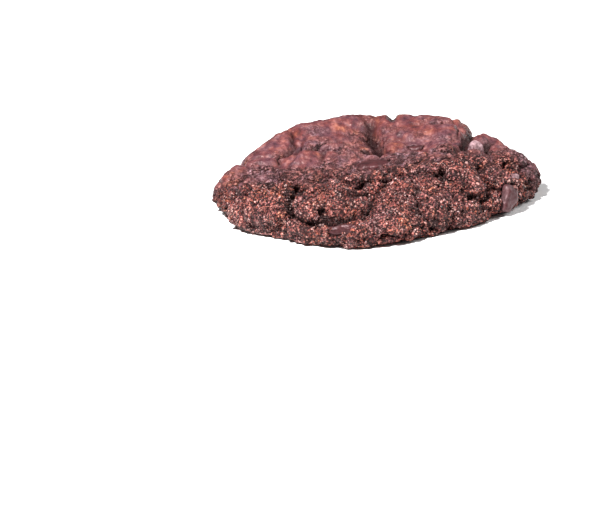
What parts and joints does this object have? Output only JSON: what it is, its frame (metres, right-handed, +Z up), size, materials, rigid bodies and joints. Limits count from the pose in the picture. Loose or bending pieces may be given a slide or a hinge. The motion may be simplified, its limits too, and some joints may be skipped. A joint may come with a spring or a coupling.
{
  "type": "chocolate chunk cookie",
  "caption": "Round, craggy double chocolate cookie with a raised rim, a sunken middle, a sloping near side and chocolate chips set in its crust.",
  "frame": {"origin": "bottom centre of the bounding box, on the flat underside", "axes": "+Z up through the cookie's thickness; -Y towards the gently sloping near side; +X towards the right side as seen in the picture"},
  "size_m": [0.0836, 0.084, 0.0143],
  "materials": {
    "dough": "dry, coarse, dark brown baked crumb",
    "chocolate": "smooth, half-gloss dark chocolate"
  },
  "bodies": {
    "root": {"dough": "dough", "chip_1": "chocolate", "chip_2": "chocolate", "chip_3": "chocolate", "chip_4": "chocolate", "chip_5": "chocolate", "chip_6": "chocolate", "chip_7": "chocolate", "chip_8": "chocolate", "chip_9": "chocolate", "chip_10": "chocolate", "chip_11": "chocolate"}
  },
  "joints": []
}
